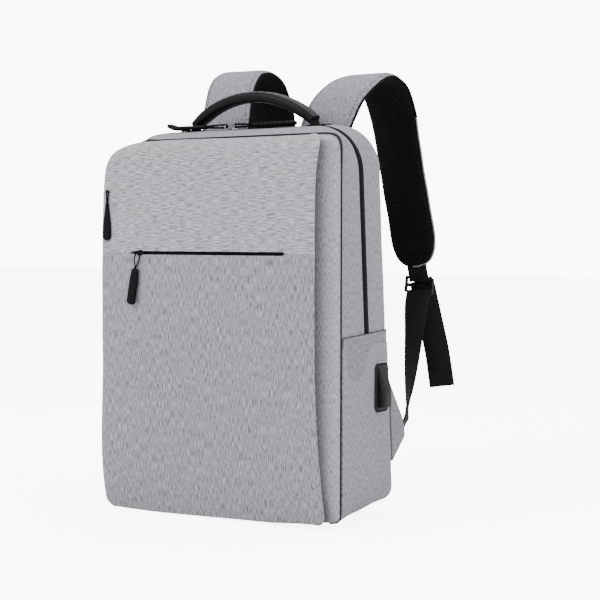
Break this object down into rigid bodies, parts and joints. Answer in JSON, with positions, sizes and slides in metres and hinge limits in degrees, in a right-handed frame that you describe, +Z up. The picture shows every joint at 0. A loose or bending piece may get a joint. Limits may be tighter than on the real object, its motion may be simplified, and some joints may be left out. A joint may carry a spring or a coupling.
{
  "type": "laptop backpack with charging port",
  "caption": "Grey laptop backpack with front and main zips, top handle, padded shoulder straps, side pockets and a side charging port fed by a power bank.",
  "frame": {"origin": "on the floor under the bag, midway between its side panels", "axes": "+X to the right seen from the front, +Y to the back panel and straps, +Z up; the front panel faces -Y"},
  "size_m": [0.3171, 0.3203, 0.5121],
  "materials": {
    "grey_fabric": "melange polyester weave, matt",
    "lining_fabric": "smooth lining cloth",
    "air_mesh": "open knit spacer mesh",
    "foam": "closed-cell foam",
    "zip_tape": "woven zip tape",
    "zip_coil": "nylon coil",
    "webbing": "ribbed polypropylene webbing",
    "black_rubber": "satin moulded rubber",
    "slider_metal": "satin",
    "black_plastic": "fine moulded texture",
    "cable_sheath": "satin",
    "button_plastic": "gloss",
    "cell_wrap": "shrink wrap"
  },
  "bodies": {
    "root": {"base_panel": "grey_fabric", "base_board": "black_plastic", "back_panel": "grey_fabric", "back_pads": "air_mesh", "strap_yoke": "grey_fabric", "side_panels": "grey_fabric", "side_pocket_left": "grey_fabric", "side_pocket_right": "grey_fabric", "rear_gusset_arch": "grey_fabric", "main_zip_tape_rear": "zip_tape", "main_zip_coil_rear": "zip_coil", "pocket_divider": "lining_fabric", "seam_binding": "zip_tape", "front_panel_lower": "grey_fabric", "front_pocket_gusset": "grey_fabric", "front_foam_lower": "foam", "handle_anchors": "webbing", "wing_tabs": "grey_fabric", "usb_port_body": "black_plastic", "usb_socket": "slider_metal", "usb_cable": "cable_sheath", "bank_pocket": "lining_fabric", "laptop_sleeve": "lining_fabric"},
    "front_flap": {"main_zip_tape_front": "zip_tape", "main_zip_coil_front": "zip_coil", "front_gusset_arch": "grey_fabric", "front_panel_upper": "grey_fabric", "front_foam_upper": "foam", "front_zip_tape": "zip_tape", "front_zip_coil": "zip_coil", "side_zip_tape": "zip_tape"},
    "front_slider": {"front_slider": "slider_metal"},
    "front_pull": {"front_pull_cord": "webbing", "front_pull_tip": "black_rubber"},
    "main_slider_left": {"main_slider_left": "slider_metal"},
    "main_pull_left": {"main_pull_cord_left": "webbing", "main_pull_tip_left": "black_rubber"},
    "main_slider_right": {"main_slider_right": "slider_metal"},
    "main_pull_right": {"main_pull_cord_right": "webbing", "main_pull_tip_right": "black_rubber"},
    "side_slider": {"side_slider": "slider_metal"},
    "side_pull": {"side_pull_cord": "webbing", "side_pull_tip": "black_rubber"},
    "handle": {"handle_grip": "black_rubber"},
    "strap_left": {"strap_cover_left": "grey_fabric", "strap_foam_left": "foam", "strap_mesh_left": "air_mesh", "strap_webbing_left": "webbing"},
    "buckle_left": {"strap_buckle_left": "black_plastic"},
    "tail_left": {"strap_tail_left": "webbing"},
    "strap_right": {"strap_cover_right": "grey_fabric", "strap_foam_right": "foam", "strap_mesh_right": "air_mesh", "strap_webbing_right": "webbing"},
    "buckle_right": {"strap_buckle_right": "black_plastic"},
    "tail_right": {"strap_tail_right": "webbing"},
    "power_bank": {"power_bank_case": "black_plastic", "power_bank_cells": "cell_wrap"},
    "power_button": {"power_bank_button": "button_plastic"},
    "usb_plug": {"usb_plug": "black_plastic"}
  },
  "joints": [
    {"name": "front_flap_open", "type": "hinge", "parent": "root", "child": "front_flap", "pos_m": [0, 0.0255, 0.186], "axis": [1, 0, 0], "range_deg": [0, 28], "deforming": ["front_gusset_arch", "pocket_divider", "seam_binding", "front_panel_lower", "front_pocket_gusset"]},
    {"name": "front_slider_slide", "type": "slide", "parent": "front_flap", "child": "front_slider", "axis": [1, 0, 0], "range_m": [0, 0.18]},
    {"name": "front_pull_swing", "type": "hinge", "parent": "front_slider", "child": "front_pull", "pos_m": [-0.088, -0.08839, 0.287], "axis": [1, 0, 0], "range_deg": [-150, 0]},
    {"name": "main_slider_left_slide", "type": "slide", "parent": "root", "child": "main_slider_left", "axis": [-1, 0, 0], "range_m": [0, 0.06]},
    {"name": "main_pull_left_lift", "type": "hinge", "parent": "main_slider_left", "child": "main_pull_left", "pos_m": [-0.0324, 0.00751, 0.43428], "axis": [0, 0.9976, 0.0698], "range_deg": [0, 120]},
    {"name": "main_slider_right_slide", "type": "slide", "parent": "root", "child": "main_slider_right", "axis": [1, 0, 0], "range_m": [0, 0.11]},
    {"name": "main_pull_right_lift", "type": "hinge", "parent": "main_slider_right", "child": "main_pull_right", "pos_m": [-0.0196, 0.00751, 0.43428], "axis": [0, 0.9976, 0.0698], "range_deg": [-120, 0]},
    {"name": "side_slider_slide", "type": "slide", "parent": "front_flap", "child": "side_slider", "axis": [0, -0.0196, -0.9998], "range_m": [0, 0.056]},
    {"name": "side_pull_swing", "type": "hinge", "parent": "side_slider", "child": "side_pull", "pos_m": [-0.14, -0.0884, 0.3571], "axis": [1, 0, 0], "range_deg": [-120, 0]},
    {"name": "handle_tilt", "type": "hinge", "parent": "root", "child": "handle", "pos_m": [-0.005, 0.02559, 0.43384], "axis": [1, 0, 0], "range_deg": [-15, 14]},
    {"name": "strap_left_swing", "type": "hinge", "parent": "root", "child": "strap_left", "pos_m": [-0.083, 0.066, 0.404], "axis": [1, 0, 0], "range_deg": [-4, 12], "deforming": ["strap_webbing_left"]},
    {"name": "buckle_left_tilt", "type": "hinge", "parent": "strap_left", "child": "buckle_left", "pos_m": [-0.113, 0.208, 0.253], "axis": [1, 0, 0], "range_deg": [0, 35]},
    {"name": "tail_left_swing", "type": "hinge", "parent": "buckle_left", "child": "tail_left", "pos_m": [-0.115, 0.214, 0.245], "axis": [1, 0, 0], "range_deg": [-10, 25]},
    {"name": "strap_right_swing", "type": "hinge", "parent": "root", "child": "strap_right", "pos_m": [0.083, 0.066, 0.404], "axis": [1, 0, 0], "range_deg": [-4, 12], "deforming": ["strap_webbing_right"]},
    {"name": "buckle_right_tilt", "type": "hinge", "parent": "strap_right", "child": "buckle_right", "pos_m": [0.113, 0.208, 0.253], "axis": [1, 0, 0], "range_deg": [0, 35]},
    {"name": "tail_right_swing", "type": "hinge", "parent": "buckle_right", "child": "tail_right", "pos_m": [0.115, 0.214, 0.245], "axis": [1, 0, 0], "range_deg": [-10, 25]},
    {"name": "power_bank_lift", "type": "slide", "parent": "root", "child": "power_bank", "axis": [0, 0, 1], "range_m": [0, 0.09], "deforming": ["usb_cable"]},
    {"name": "power_button_press", "type": "slide", "parent": "power_bank", "child": "power_button", "axis": [1, 0, 0], "range_m": [0, 0.0006]},
    {"name": "usb_plug_pull", "type": "slide", "parent": "power_bank", "child": "usb_plug", "axis": [0, 0, 1], "range_m": [0, 0.016], "deforming": ["usb_cable"]}
  ]
}
